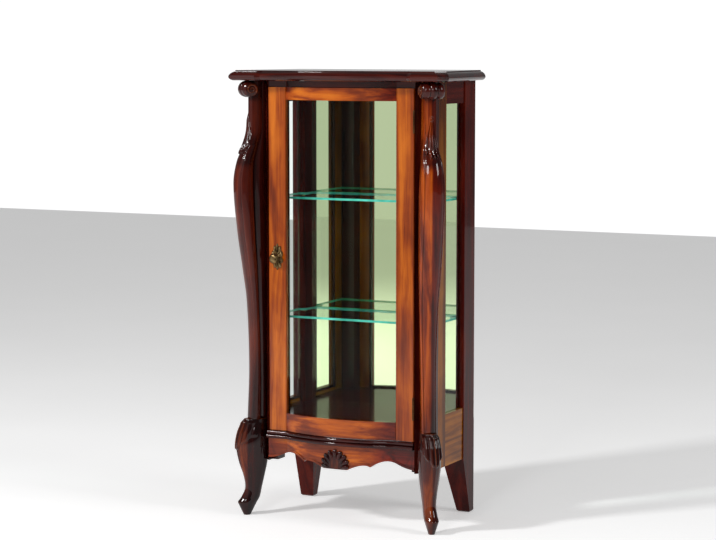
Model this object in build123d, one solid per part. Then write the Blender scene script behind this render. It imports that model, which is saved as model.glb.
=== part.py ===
from build123d import *
import os
from math import radians, sin

# Display cabinet with a bowed glass door, carved corner pilasters and cabriole front legs.
# Millimetres. X to the right, Y to the back, Z up.
# The origin is on the floor, under the middle of the cabinet's outline.

# Overall
HEIGHT = 1250
CASE_WIDTH = 534
CASE_DEPTH = 305
BOW = 32

# Top board
TOP_THICK = 28
TOP_EAR_WIDTH = 670
TOP_BACK_WIDTH = 600
TOP_BOW_REACH = 66
TOP_EAR_REACH = 58
TOP_EAR_LENGTH = 80
TOP_EAR_CANT = 14
TOP_CORNER = (19, 32)
# Height up the edge as a share of the thickness, and how far the edge lies inside the widest line
TOP_EDGE = (
    (0, 9),
    (0.09, 4.2),
    (0.2, 1.2),
    (0.34, 0),
    (0.5, 1),
    (0.68, 4.6),
    (0.8, 9),
    (0.86, 12.5),
    (0.87, 14.5),
    (1, 15),
)

# Case
OPENING_WIDTH = 450
SIDE_THICK = 18
STOP_WIDTH = 18
CORNER_POST_DEPTH = 62
SIDE_STILE_WIDTH = 50
SIDE_TOP_RAIL = 62
SIDE_BOTTOM_RAIL = 145
SIDE_BOTTOM_Z = 162
FRIEZE_HEIGHT = 17
FRIEZE_RECESS = 4
FRIEZE_DEPTH = 36
REBATE = 8
FIT = 0.3
# How far a cut or a lap reaches past the surface it has to cross
OVERCUT = 1

# Rear posts, legs and back
REAR_POST_WIDTH = 41
REAR_POST_DEPTH = 73
REAR_PROUD = 3
REAR_LEG_TOP_WIDTH = 66
REAR_FOOT = (40, 25)
REAR_FOOT_CHAMFER = 4
REAR_REBATE = (12, 22)
REAR_RAIL_THICK = 20
REAR_TOP_RAIL = 30
REAR_BOTTOM_RAIL = 60
MIRROR_THICK = 4
BACK_THICK = 6

# Base
LEG_HEIGHT = 274
LEG_BLOCK_DROP = 5
APRON_TOP = 223
APRON_THICK = 20
APRON_END = 56
APRON_ARCH = 36
APRON_CUSP = 55
APRON_DROP = 66
ARCH_X = 149
CUSP_X = 102
DROP_X = 40
DROP_RISE = 1.5
CUSP_HOOK = (10, 4)
APRON_BEAD = 6
APRON_BEAD_PROUD = 2.5
MOULDING_HEIGHT = 20.5
MOULDING_REACH = 14
MOULDING_STEP = 4
MOULDING_ROUND = 0.42
BOARD_THICK = 20
FLOOR_Z = 290

# Door
DOOR_THICK = 22
DOOR_STILE = 55
DOOR_TOP_RAIL = 34.5
DOOR_BOTTOM_RAIL = 50
DOOR_SIDE_GAP = 2
DOOR_HINGE_GAP = 3
DOOR_END_GAP = 1.5
DOOR_STOP_GAP = 0.5
GLASS = 4
GLASS_SETBACK = 11
STILE_EDGE_ROUND = 3

# Shelves
SHELF_THICK = 6
UPPER_SHELF_TOP = 897
LOWER_SHELF_TOP = 562
SHELF_FRONT_GAP = 4
SHELF_SIDE_GAP = 2
SHELF_BACK_GAP = 6
PIN_RADIUS = 3
PIN_REACH = 9
PIN_INSET = 22

# Hinges
HINGE_LENGTH = 60
HINGE_INSET = 90
LEAF_THICK = 1.2
LEAF_WIDTH = 18
KNUCKLE_RADIUS = 3.4
KNUCKLE_CLEAR = 0.8
HINGE_PIN_RADIUS = 1.5
PIN_RUNNING = 0.05
KNUCKLE_GAP = 0.3
PIN_HEAD = (2.6, 2.5)
PIN_HEAD_ROUND = 1

# Knob and catch
KNOB_Z = 720
PLATE_SIZE = (34, 62)
PLATE_THICK = 2.5
PLATE_ROUND = 0.6
KNOB_REACH = 30
KNOB_RADIUS = 13
KNOB_STEM_RADIUS = 5
KNOB_COLLAR_RADIUS = 8
# Shares of the knob's reach at which its waist and its bulb lie
KNOB_WAIST_AT = 0.3
KNOB_BULB_AT = 0.66
CATCH = (40, 13, 16)
CATCH_GAP = 2
CATCH_CHAMFER = 1
STRIKE_THICK = 1
# How much shorter the plate is than the catch on the left, on the right and at the top
STRIKE_INSET = (4, 6, 4)

# Carved pilaster: height as a share of its length, inner and outer distance from the chamfer, half width
PILASTER_FORM = (
    (0.00, 20, 53, 22),
    (0.16, 19, 47.7, 23),
    (0.35, 26, 53.6, 29),
    (0.45, 31, 65.5, 33),
    (0.56, 38, 80, 35.5),
    (0.70, 43, 90, 36),
    (0.765, 40, 80, 32),
    (0.81, 26, 61, 25),
    (0.855, 12, 48.5, 18.5),
    (0.92, 10.5, 46.5, 17),
    (0.985, 10.5, 46.5, 17),
)
# Shares of the half width: how far the edges lie behind the ridge, and how far the faces swell
RIDGE_DROP = 0.42
RIDGE_SWELL = 0.1
WEB_HALF = 10
# Where the web ends in the band, as a share from its inner to its outer face
WEB_END = 0.45
SCROLL_RADIUS = 26.5
SCROLL_RIM = 0.78
SCROLL_OUT = 53
SCROLL_LOBE = 25
SCROLL_LAP = 1
SCROLL_SIDE_SHARE = 0.88
SCROLL_SIDE_BACK = 6
SCROLL_SEAT = 2

# Front leg: height as a share of the leg, inner and outer distance from the chamfer, half width
LEG_FORM = (
    (0.131, 27, 83, 21),
    (0.18, 19, 73, 20.5),
    (0.274, 13, 61.5, 20),
    (0.40, 5, 65, 24),
    (0.55, -4, 77, 31),
    (0.70, -8, 84, 35),
    (0.85, -6, 77, 32),
    (0.95, -5, 66, 27),
    (1.00, -5, 62.5, 25.5),
)
FOOT_FORM = ((0.0, 46, 66, 9.5), (0.055, 42, 72, 13), (0.131, 27, 83, 21))

# Shell
SHELL_WIDTH = 84
SHELL_HEIGHT = 54
SHELL_RIBS = 9
SHELL_PROUD = 8
SHELL_PLATE = 4
SHELL_SPREAD = 156
SHELL_FOOT = 1
SHELL_BUTTON = (6, 7)
# Ribs: root height and half width, then shares of the rib's length, of its tip and of its proudness
RIB_ROOT = (2, 1.4, 0.3)
RIB_WAIST = (0.6, 0.72, 0.8)
RIB_END = (0.5, 0.6)

# Derived sizes
DOOR_Y = TOP_BOW_REACH - (TOP_BOW_REACH + CASE_DEPTH) / 2
BACK_Y = DOOR_Y + CASE_DEPTH
CASE_HALF = CASE_WIDTH / 2
OPENING_HALF = OPENING_WIDTH / 2
CASE_TOP = HEIGHT - TOP_THICK
POST_BACK_Y = DOOR_Y + CORNER_POST_DEPTH
REAR_OUT = CASE_HALF + REAR_PROUD
REAR_IN = REAR_OUT - REAR_POST_WIDTH
REAR_LEG_IN = REAR_OUT - REAR_LEG_TOP_WIDTH
REAR_FRONT_Y = BACK_Y - REAR_POST_DEPTH
SIDE_IN = CASE_HALF - SIDE_THICK
STILE_BACK_Y = POST_BACK_Y + SIDE_STILE_WIDTH
SIDE_GLASS_Z = (SIDE_BOTTOM_Z + SIDE_BOTTOM_RAIL, CASE_TOP - SIDE_TOP_RAIL)
DOOR_LEFT = -OPENING_HALF + DOOR_SIDE_GAP
DOOR_RIGHT = OPENING_HALF - DOOR_HINGE_GAP
DOOR_Z = (APRON_TOP + MOULDING_HEIGHT + DOOR_END_GAP, CASE_TOP - FRIEZE_HEIGHT - DOOR_END_GAP)
BOW_HALF = OPENING_HALF - DOOR_STILE - DOOR_SIDE_GAP
DOOR_GLASS_Z = (DOOR_Z[0] + DOOR_BOTTOM_RAIL, DOOR_Z[1] - DOOR_TOP_RAIL)
STOP_Y = DOOR_THICK + DOOR_STOP_GAP
MIRROR_Y = BACK_Y - REAR_REBATE[1]
CORNER_X = (CASE_HALF + OPENING_HALF) / 2
CHAMFER = CASE_HALF - OPENING_HALF
CORNER_Y = DOOR_Y + CHAMFER / 2
BORE_RADIUS = HINGE_PIN_RADIUS + PIN_RUNNING
HINGE_X = OPENING_HALF - DOOR_HINGE_GAP / 2
HINGE_Y = DOOR_Y - KNUCKLE_RADIUS - KNUCKLE_CLEAR
CATCH_X = DOOR_LEFT + STOP_WIDTH + CATCH_GAP
CATCH_TOP = CASE_TOP - FRIEZE_HEIGHT
BOARD_Z = (FLOOR_Z - BOARD_THICK, FLOOR_Z)
HINGE_ZS = {"lower": DOOR_Z[0] + HINGE_INSET, "upper": DOOR_Z[1] - HINGE_INSET}

SIDES = {"left": -1, "right": 1}
MADE = {}


def keep(name, shape):
    MADE[name] = shape


def block(x, y, z):
    """A box between two corners, each axis given as a (low, high) pair in any order."""
    (x0, x1), (y0, y1), (z0, z1) = sorted(x), sorted(y), sorted(z)
    return Pos(x0, y0, z0) * Box(x1 - x0, y1 - y0, z1 - z0, align=(Align.MIN, Align.MIN, Align.MIN))


def on_side(side, shape):
    """A shape drawn for the right side, or its mirror image on the left."""
    if side > 0:
        return shape
    return mirror(shape, about=Plane.YZ)


def bow_edges(half, y):
    """Front line of the cabinet in plan: flat over the stiles and bowed forward between them."""
    flat = half - BOW_HALF
    edges = []
    if flat > 0:
        edges.append(Line((-half, y), (-BOW_HALF, y)))
    edges.append(ThreePointArc((-BOW_HALF, y), (0, y - BOW), (BOW_HALF, y)))
    if flat > 0:
        edges.append(Line((BOW_HALF, y), (half, y)))
    return edges


def bowed(half, front, back, z):
    """A board that follows the bow. front and back count from the door's plane, half is at least BOW_HALF."""
    y0 = DOOR_Y + front
    y1 = DOOR_Y + back
    edges = bow_edges(half, y0) + bow_edges(half, y1)
    edges.append(Line((-half, y0), (-half, y1)))
    edges.append(Line((half, y0), (half, y1)))
    return extrude(Pos(0, 0, z[0]) * make_face(edges), z[1] - z[0], dir=(0, 0, 1))


def bow_fronted(half, front, back_y, z):
    """A board with a bowed front edge and a straight back edge."""
    y0 = DOOR_Y + front
    edges = bow_edges(half, y0)
    edges.append(Polyline((half, y0), (half, back_y), (-half, back_y), (-half, y0)))
    return extrude(Pos(0, 0, z[0]) * make_face(edges), z[1] - z[0], dir=(0, 0, 1))


def corner(z=0):
    """Plane on the chamfered front right corner: x points out of the corner and y along the chamfer."""
    return Plane(origin=(CORNER_X, CORNER_Y, z), x_dir=(1, -1, 0), z_dir=(0, 0, 1))


def top_outline(inset, z):
    """The top's outline at one height, drawn inside the widest line by inset."""
    back = TOP_BACK_WIDTH / 2 - inset
    ear = TOP_EAR_WIDTH / 2 - inset
    front = DOOR_Y - TOP_EAR_REACH + inset
    bow_x = TOP_EAR_WIDTH / 2 - TOP_CORNER[0] - TOP_EAR_LENGTH - TOP_EAR_CANT
    bow_y = front + TOP_EAR_CANT / 2
    tip = DOOR_Y - TOP_BOW_REACH + inset
    half = [
        (back, BACK_Y),
        (ear, front + TOP_CORNER[1]),
        (ear - TOP_CORNER[0], front),
        (bow_x + TOP_EAR_CANT, front),
        (bow_x, bow_y),
    ]
    other = [(-x, y) for x, y in reversed(half)]
    edges = [Polyline(*half), ThreePointArc(half[-1], (0, tip), other[0]), Polyline(*other)]
    edges.append(Line(other[-1], half[0]))
    return Pos(0, 0, z) * make_face(edges)


def top_board():
    sections = [top_outline(inset, CASE_TOP + share * TOP_THICK) for share, inset in TOP_EDGE]
    return loft(sections, ruled=True)


def corner_post():
    """Straight front post behind the pilaster, chamfered outside and rebated for the door."""
    stop_x = OPENING_HALF - STOP_WIDTH
    outline = Polyline(
        (OPENING_HALF, DOOR_Y),
        (CASE_HALF, DOOR_Y + CHAMFER),
        (CASE_HALF, POST_BACK_Y),
        (stop_x, POST_BACK_Y),
        (stop_x, DOOR_Y + STOP_Y),
        (OPENING_HALF, DOOR_Y + STOP_Y),
        close=True,
    )
    return make_face(outline)


def post_length(z0, z1):
    return extrude(Pos(0, 0, z0) * corner_post(), z1 - z0, dir=(0, 0, 1))


def ridged_section(inner, outer, half):
    """Cross-section of the pilaster: flat back and sides, two swelling faces that meet in a ridge."""
    edge = outer - RIDGE_DROP * half
    swell = RIDGE_SWELL * half
    middle = ((edge + outer) / 2 + swell, half / 2)
    lines = [
        Line((inner, -half), (edge, -half)),
        ThreePointArc((edge, -half), (middle[0], -middle[1]), (outer, 0)),
        ThreePointArc((outer, 0), middle, (edge, half)),
        Line((edge, half), (inner, half)),
        Line((inner, half), (inner, -half)),
    ]
    return make_face(lines)


def scroll_lobe(radius, out, along):
    """One rolled leaf end of the scroll, a barrel lying along the chamfer."""
    width = (SCROLL_LOBE + SCROLL_LAP) / 2
    rim = SCROLL_RIM * radius
    profile = make_face([
        Line((0, -width), (rim, -width)),
        ThreePointArc((rim, -width), (radius, 0), (rim, width)),
        Line((rim, width), (0, width)),
        Line((0, width), (0, -width)),
    ])
    barrel = revolve(profile, Axis.Y, 360)
    return corner() * Pos(out, along, CASE_TOP - SCROLL_RADIUS + SCROLL_SEAT) * barrel


def pilaster():
    """Carved corner piece: ridged band on a narrow web, rolled over in a three-lobed scroll at the top."""
    length = CASE_TOP - LEG_HEIGHT
    heights = [LEG_HEIGHT + share * length for share, *rest in PILASTER_FORM]
    sections = []
    middle = []
    for z, (share, inner, outer, half) in zip(heights, PILASTER_FORM):
        sections.append(corner(z) * ridged_section(inner, outer, half))
        middle.append((inner + WEB_END * (outer - inner), z))
    band = loft(sections)
    web_edge = Spline(*middle)
    web_face = make_face([
        web_edge,
        Line(middle[-1], (0, middle[-1][1])),
        Line((0, middle[-1][1]), (0, middle[0][1])),
        Line((0, middle[0][1]), middle[0]),
    ])
    side_plane = Plane(origin=(CORNER_X, CORNER_Y, 0), x_dir=(1, -1, 0), z_dir=(-1, -1, 0))
    web = side_plane * extrude(web_face, WEB_HALF, both=True)
    piece = band + web
    for step in (-1, 1):
        along = step * (SCROLL_LOBE - SCROLL_LAP)
        piece += scroll_lobe(SCROLL_SIDE_SHARE * SCROLL_RADIUS, SCROLL_OUT - SCROLL_SIDE_BACK, along)
    piece += scroll_lobe(SCROLL_RADIUS, SCROLL_OUT, 0)
    above = block((0, CASE_WIDTH), (DOOR_Y - CASE_DEPTH, BACK_Y), (CASE_TOP, CASE_TOP + 2 * SCROLL_RADIUS))
    return piece - above


def oval_section(inner, outer, half, z):
    return corner(z) * Pos((inner + outer) / 2, 0, 0) * Ellipse((outer - inner) / 2, half)


def front_leg():
    """Cabriole leg with the block that the rails meet."""
    shank = loft([oval_section(a, b, half, share * LEG_HEIGHT) for share, a, b, half in LEG_FORM])
    foot = loft([oval_section(a, b, half, share * LEG_HEIGHT) for share, a, b, half in FOOT_FORM], ruled=True)
    return shank + foot + post_length(SIDE_BOTTOM_Z - LEG_BLOCK_DROP, LEG_HEIGHT)


def rear_post():
    z = (BOARD_Z[0], CASE_TOP)
    body = block((REAR_IN, REAR_OUT), (REAR_FRONT_Y, BACK_Y), z)
    rebate = block((REAR_IN, REAR_IN + REAR_REBATE[0]), (MIRROR_Y, BACK_Y), z)
    return body - rebate


def rear_leg():
    """Wide block under the rear post, tapering inside and in front down to a small foot."""
    body = block((REAR_LEG_IN, REAR_OUT), (REAR_FRONT_Y, BACK_Y), (SIDE_BOTTOM_Z, BOARD_Z[0]))
    foot = Pos(REAR_OUT - REAR_FOOT[0] / 2, BACK_Y - REAR_FOOT[1] / 2) * Rectangle(*REAR_FOOT)
    top_middle = Pos(REAR_OUT - REAR_LEG_TOP_WIDTH / 2, BACK_Y - REAR_POST_DEPTH / 2, SIDE_BOTTOM_Z)
    shoulder = top_middle * Rectangle(REAR_LEG_TOP_WIDTH, REAR_POST_DEPTH)
    taper = loft([foot, shoulder], ruled=True)
    taper = chamfer(taper.faces().sort_by(Axis.Z)[0].edges(), REAR_FOOT_CHAMFER)
    return body + taper


def side_frame():
    """Front stile and two rails round the side glass, each rebated from inside."""
    x = (SIDE_IN, CASE_HALF)
    z0, z1 = SIDE_GLASS_Z
    stile = block(x, (POST_BACK_Y, STILE_BACK_Y), (SIDE_BOTTOM_Z, CASE_TOP))
    top = block(x, (STILE_BACK_Y, REAR_FRONT_Y), (z1, CASE_TOP))
    bottom = block(x, (STILE_BACK_Y, REAR_FRONT_Y), (SIDE_BOTTOM_Z, z0))
    rebate_x = (SIDE_IN, CASE_HALF - SIDE_THICK / 2)
    rebate = block(rebate_x, (STILE_BACK_Y - REBATE, REAR_FRONT_Y), (z0 - REBATE, z1 + REBATE))
    return stile - rebate, top - rebate, bottom - rebate


def side_glass():
    x1 = CASE_HALF - SIDE_THICK / 2 - FIT
    y = (STILE_BACK_Y - REBATE + FIT, REAR_FRONT_Y - FIT)
    z0, z1 = SIDE_GLASS_Z
    return block((x1 - GLASS, x1), y, (z0 - REBATE + FIT, z1 + REBATE - FIT))


def side_beads():
    """Four strips that hold the side glass from inside."""
    x = (SIDE_IN, CASE_HALF - SIDE_THICK / 2 - FIT - GLASS - FIT)
    y0 = STILE_BACK_Y - REBATE
    z0, z1 = SIDE_GLASS_Z
    outer = block(x, (y0, REAR_FRONT_Y), (z0 - REBATE, z1 + REBATE))
    inner = block(x, (y0 + REBATE, REAR_FRONT_Y - REBATE), (z0, z1))
    return outer - inner


def bottom_board():
    """Interior floor, cut round the posts, with a bowed front edge just behind the door."""
    board = bow_fronted(SIDE_IN, STOP_Y, MIRROR_Y - FIT, BOARD_Z)
    for sign in SIDES.values():
        stop_x = OPENING_HALF - STOP_WIDTH
        board -= block((sign * stop_x, sign * CASE_HALF), (DOOR_Y - BOW, POST_BACK_Y), BOARD_Z)
        board -= block((sign * REAR_IN, sign * CASE_HALF), (REAR_FRONT_Y, BACK_Y), BOARD_Z)
    return board


def scallop(shift=0):
    """The apron's face: straight on top, with arches, cusps and a central drop below."""
    low = APRON_TOP - shift
    end = low - APRON_END + 2 * shift
    arch = low - APRON_ARCH + 2 * shift
    cusp = low - APRON_CUSP + 2 * shift
    drop = low - APRON_DROP + 2 * shift
    right = [
        Spline(
            (OPENING_HALF, end),
            (ARCH_X, arch),
            (CUSP_X, cusp),
            tangents=[(-1, 0.05), (-1, -0.75)],
        ),
        Spline(
            (CUSP_X, cusp),
            (CUSP_X - CUSP_HOOK[0], cusp + CUSP_HOOK[1]),
            (DROP_X, drop + DROP_RISE),
            (0, drop),
            tangents=[(-1, 0.9), (-1, 0)],
        ),
    ]
    left = [mirror(edge, about=Plane.YZ) for edge in right]
    top = HEIGHT if shift else APRON_TOP
    sides = [
        Line((OPENING_HALF, end), (OPENING_HALF, top)),
        Line((OPENING_HALF, top), (-OPENING_HALF, top)),
        Line((-OPENING_HALF, top), (-OPENING_HALF, end)),
    ]
    return make_face(right + left + sides)


def front_plane_solid(face):
    """A drawing in X and Z carried right through the front of the cabinet."""
    back = Plane(origin=(0, BACK_Y, 0), x_dir=(1, 0, 0), z_dir=(0, -1, 0))
    return extrude(back * face, 2 * CASE_DEPTH)


def front_apron():
    """Bowed board with a scalloped lower edge and a raised bead that follows it."""
    z = (APRON_TOP - 2 * APRON_DROP, APRON_TOP)
    board = bowed(OPENING_HALF, 0, APRON_THICK, z) & front_plane_solid(scallop())
    band = scallop() - scallop(APRON_BEAD)
    proud = bowed(OPENING_HALF, -APRON_BEAD_PROUD, APRON_BEAD_PROUD, z) & front_plane_solid(band)
    return board + proud


def moulding():
    """Strip under the door: two rounded beads, the lower one further out."""
    half = MOULDING_HEIGHT / 2
    strip = None
    for level, reach in ((0, MOULDING_REACH), (1, MOULDING_REACH - MOULDING_STEP)):
        z0 = APRON_TOP + level * half
        bead = bowed(OPENING_HALF, -reach, APRON_THICK, (z0, z0 + half))
        front = [
            edge
            for edge in bead.edges()
            if edge.center().Y < DOOR_Y - reach + 0.01 and edge.length > half + OVERCUT
        ]
        bead = fillet(front, MOULDING_ROUND * half)
        strip = bead if strip is None else strip + bead
    return strip


def shell_rib(index):
    """Lean from upright in degrees and length of one rib of the shell."""
    share = 2 * index / (SHELL_RIBS - 1) - 1
    length = SHELL_HEIGHT - (SHELL_HEIGHT - SHELL_WIDTH / 2) * share ** 2
    return share * SHELL_SPREAD / 2, length


def shell_carving(apron):
    """Fan of rounded ribs on a scalloped plate, in the middle of the apron."""
    foot_z = APRON_TOP - APRON_DROP + SHELL_FOOT
    tip = 0.5 * SHELL_WIDTH * sin(radians(SHELL_SPREAD / (SHELL_RIBS - 1))) / 2
    ribs = []
    outline = Pos(0, foot_z + SHELL_BUTTON[0]) * Circle(SHELL_BUTTON[1])
    for index in range(SHELL_RIBS):
        lean, length = shell_rib(index)
        rib = loft([
            Pos(0, 0, RIB_ROOT[0]) * Ellipse(RIB_ROOT[1], RIB_ROOT[2] * SHELL_PROUD),
            Pos(0, 0, RIB_WAIST[0] * length) * Ellipse(RIB_WAIST[1] * tip, RIB_WAIST[2] * SHELL_PROUD),
            Pos(0, 0, length - tip) * Ellipse(tip, SHELL_PROUD),
            Pos(0, 0, length) * Ellipse(RIB_END[0] * tip, RIB_END[1] * SHELL_PROUD),
        ])
        ribs.append(Pos(0, DOOR_Y - BOW, foot_z) * Rot(0, lean, 0) * rib)
        petal = make_face([
            Line((-1, 0), (1, 0)),
            Line((1, 0), (tip, length - tip)),
            ThreePointArc((tip, length - tip), (0, length), (-tip, length - tip)),
            Line((-tip, length - tip), (-1, 0)),
        ])
        outline += Pos(0, foot_z) * Rot(0, 0, -lean) * petal
    z = (APRON_TOP - APRON_DROP, APRON_TOP)
    carving = bowed(BOW_HALF, -SHELL_PLATE, 0, z) & front_plane_solid(outline)
    zone = bowed(BOW_HALF, -2 * SHELL_PROUD, 0, z)
    for rib in ribs:
        carving += rib & zone
    return largest(carving - apron)


def largest(shape):
    return shape.solids().sort_by(SortBy.VOLUME)[-1]


def front_bottom_rail():
    z = (APRON_TOP + MOULDING_HEIGHT, BOARD_Z[0])
    return bowed(OPENING_HALF - STOP_WIDTH, STOP_Y, STOP_Y + APRON_THICK, z)


def frieze_rail():
    """Recessed board above the door, let in between the corner posts."""
    z = (CASE_TOP - FRIEZE_HEIGHT, CASE_TOP)
    board = bowed(OPENING_HALF, FRIEZE_RECESS, FRIEZE_RECESS + FRIEZE_DEPTH, z)
    for sign in SIDES.values():
        stop = sign * (OPENING_HALF - STOP_WIDTH)
        board -= block((stop, sign * OPENING_HALF), (DOOR_Y + STOP_Y, POST_BACK_Y), z)
    return board


def rear_rail(half, z):
    y = (MIRROR_Y - REAR_RAIL_THICK, MIRROR_Y - FIT)
    return block((-half, half), y, z)


def back_sheet(front, thick):
    """Mirror or back panel in the rebates of the rear posts."""
    half = REAR_IN + REAR_REBATE[0] - FIT
    return block((-half, half), (front, front + thick), (BOARD_Z[0], CASE_TOP))


def shelf(top):
    x = SIDE_IN - SHELF_SIDE_GAP
    y = (POST_BACK_Y + SHELF_FRONT_GAP, MIRROR_Y - SHELF_BACK_GAP)
    sheet = block((-x, x), y, (top - SHELF_THICK, top))
    notch_x = REAR_IN - SHELF_SIDE_GAP
    for sign in SIDES.values():
        notch_y = (REAR_FRONT_Y - SHELF_SIDE_GAP, y[1])
        sheet -= block((sign * notch_x, sign * x), notch_y, (top - SHELF_THICK, top))
    return sheet


def shelf_pins():
    """Eight round pins, four under each glass shelf."""
    pins = []
    for top in (UPPER_SHELF_TOP, LOWER_SHELF_TOP):
        z = top - SHELF_THICK - PIN_RADIUS
        for sign in SIDES.values():
            pins.append(Pos(sign * (SIDE_IN - PIN_REACH / 2), POST_BACK_Y + PIN_INSET, z) * pin_body())
            pins.append(Pos(sign * (REAR_IN - PIN_REACH / 2), REAR_FRONT_Y + PIN_INSET, z) * pin_body())
    return Compound(children=pins)


def pin_body():
    return Rot(0, 90, 0) * Cylinder(PIN_RADIUS, PIN_REACH)


def door_stile(inner_x, outer_x):
    """Door upright with rounded front edges and a rebate for the glass."""
    inside = 1 if inner_x > 0 else -1
    body = block((inner_x, outer_x), (DOOR_Y, DOOR_Y + DOOR_THICK), DOOR_Z)
    body = fillet(body.edges().filter_by(Axis.Z).group_by(Axis.Y)[0], STILE_EDGE_ROUND)
    z = (DOOR_GLASS_Z[0] - REBATE, DOOR_GLASS_Z[1] + REBATE)
    rebate = block((inner_x, inner_x + inside * REBATE), (DOOR_Y + GLASS_SETBACK, DOOR_Y + DOOR_THICK), z)
    return body - rebate


def door_rail(z, rebate_z):
    body = bowed(BOW_HALF, 0, DOOR_THICK, z)
    return body - bowed(BOW_HALF, GLASS_SETBACK, DOOR_THICK + OVERCUT, rebate_z)


def door_glass():
    half = BOW_HALF + REBATE - FIT
    z = (DOOR_GLASS_Z[0] - REBATE + FIT, DOOR_GLASS_Z[1] + REBATE - FIT)
    return bowed(half, GLASS_SETBACK + FIT, GLASS_SETBACK + FIT + GLASS, z)


def door_beads():
    """Strips behind the bent glass."""
    front = GLASS_SETBACK + GLASS + 2 * FIT
    z0, z1 = DOOR_GLASS_Z
    outer = bowed(BOW_HALF + REBATE, front, DOOR_THICK, (z0 - REBATE, z1 + REBATE))
    inner = bowed(BOW_HALF, front - OVERCUT, DOOR_THICK + OVERCUT, (z0, z1))
    return outer - inner


def knuckle(z0, z1):
    """Round barrel of a hinge leaf and the hole for its pin."""
    middle = Pos(HINGE_X, HINGE_Y, (z0 + z1) / 2)
    length = z1 - z0
    return middle * Cylinder(KNUCKLE_RADIUS, length), middle * Cylinder(BORE_RADIUS, length + 2 * OVERCUT)


def hinge_leaf(middle, x, spans):
    """Flat leaf in the gap beside the door, with knuckles over the given shares of its length."""
    z0 = middle - HINGE_LENGTH / 2
    leaf = block(x, (DOOR_Y, DOOR_Y + LEAF_WIDTH), (z0, z0 + HINGE_LENGTH))
    bores = []
    for low, high in spans:
        a = z0 + low * HINGE_LENGTH + (KNUCKLE_GAP if low > 0 else 0)
        b = z0 + high * HINGE_LENGTH
        barrel, bore = knuckle(a, b)
        leaf += block(x, (HINGE_Y, DOOR_Y + OVERCUT), (a, b)) + barrel
        bores.append(bore)
    for bore in bores:
        leaf -= bore
    return leaf


def hinge_pins():
    """One loose pin for each hinge, with a rounded head that rests on the top knuckle."""
    pins = []
    for middle in HINGE_ZS.values():
        head_z = middle + HINGE_LENGTH / 2
        stem = Pos(HINGE_X, HINGE_Y, middle) * Cylinder(HINGE_PIN_RADIUS, HINGE_LENGTH)
        head = Pos(HINGE_X, HINGE_Y, head_z + PIN_HEAD[1] / 2) * Cylinder(PIN_HEAD[0], PIN_HEAD[1])
        head = fillet(head.edges().sort_by(Axis.Z)[-1], PIN_HEAD_ROUND)
        pins.append(stem + head)
    return Compound(children=pins)


def knob_place():
    x = (DOOR_LEFT - BOW_HALF) / 2
    return Location(Plane(origin=(x, DOOR_Y, KNOB_Z), x_dir=(1, 0, 0), z_dir=(0, -1, 0)))


def knob_plate():
    """Oval rose with a softened rim."""
    plate = extrude(Ellipse(PLATE_SIZE[0] / 2, PLATE_SIZE[1] / 2), PLATE_THICK)
    plate = fillet(plate.edges().sort_by(Axis.Z)[-1], PLATE_ROUND * PLATE_THICK)
    return knob_place() * plate


def knob():
    """Turned pull: collar, waist and a domed bulb."""
    z0 = PLATE_THICK
    profile = make_face([
        Line((0, z0), (KNOB_COLLAR_RADIUS, z0)),
        Spline(
            (KNOB_COLLAR_RADIUS, z0),
            (KNOB_STEM_RADIUS, z0 + KNOB_WAIST_AT * KNOB_REACH),
            (KNOB_RADIUS, z0 + KNOB_BULB_AT * KNOB_REACH),
            (0, z0 + KNOB_REACH),
            tangents=[(0, 1), (-1, 0)],
        ),
        Line((0, z0 + KNOB_REACH), (0, z0)),
    ])
    return knob_place() * (Rot(90, 0, 0) * revolve(profile, Axis.Y, 360))


def magnetic_catch():
    y0 = DOOR_Y + DOOR_THICK + STRIKE_THICK + FIT
    body = block((CATCH_X, CATCH_X + CATCH[0]), (y0, y0 + CATCH[1]), (CATCH_TOP - CATCH[2], CATCH_TOP))
    return chamfer(body.faces().sort_by(Axis.Z)[0].edges(), CATCH_CHAMFER)


def strike_plate():
    """Steel plate on the back of the door, opposite the catch."""
    left, right, top = STRIKE_INSET
    x = (CATCH_X + left, CATCH_X + CATCH[0] - right)
    y0 = DOOR_Y + DOOR_THICK
    return block(x, (y0, y0 + STRIKE_THICK), (CATCH_TOP - CATCH[2], CATCH_TOP - top))


def make_case():
    keep("top_board", top_board())
    keep("frieze_rail", frieze_rail())
    keep("bottom_board", bottom_board())
    keep("front_bottom_rail", front_bottom_rail())
    keep("base_moulding", moulding())
    apron = front_apron()
    keep("front_apron", apron)
    keep("shell_carving", shell_carving(apron))
    keep("rear_top_rail", rear_rail(REAR_IN, (CASE_TOP - REAR_TOP_RAIL, CASE_TOP)))
    keep("rear_bottom_rail", rear_rail(REAR_LEG_IN, (BOARD_Z[0] - REAR_BOTTOM_RAIL, BOARD_Z[0])))
    keep("mirror", back_sheet(MIRROR_Y, MIRROR_THICK))
    keep("back_panel", back_sheet(MIRROR_Y + MIRROR_THICK + FIT, BACK_THICK))
    keep("upper_shelf", shelf(UPPER_SHELF_TOP))
    keep("lower_shelf", shelf(LOWER_SHELF_TOP))
    keep("shelf_pins", shelf_pins())
    keep("magnetic_catch", magnetic_catch())
    stile, top, bottom = side_frame()
    right = {
        "corner_post": post_length(LEG_HEIGHT, CASE_TOP),
        "cabriole_pilaster": pilaster(),
        "front_leg": front_leg(),
        "rear_post": rear_post(),
        "rear_leg": rear_leg(),
        "side_front_stile": stile,
        "side_top_rail": top,
        "side_bottom_rail": bottom,
        "side_glass": side_glass(),
        "side_glazing_beads": side_beads(),
    }
    for side, sign in SIDES.items():
        for name, shape in right.items():
            keep(side + "_" + name, on_side(sign, shape))


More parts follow.
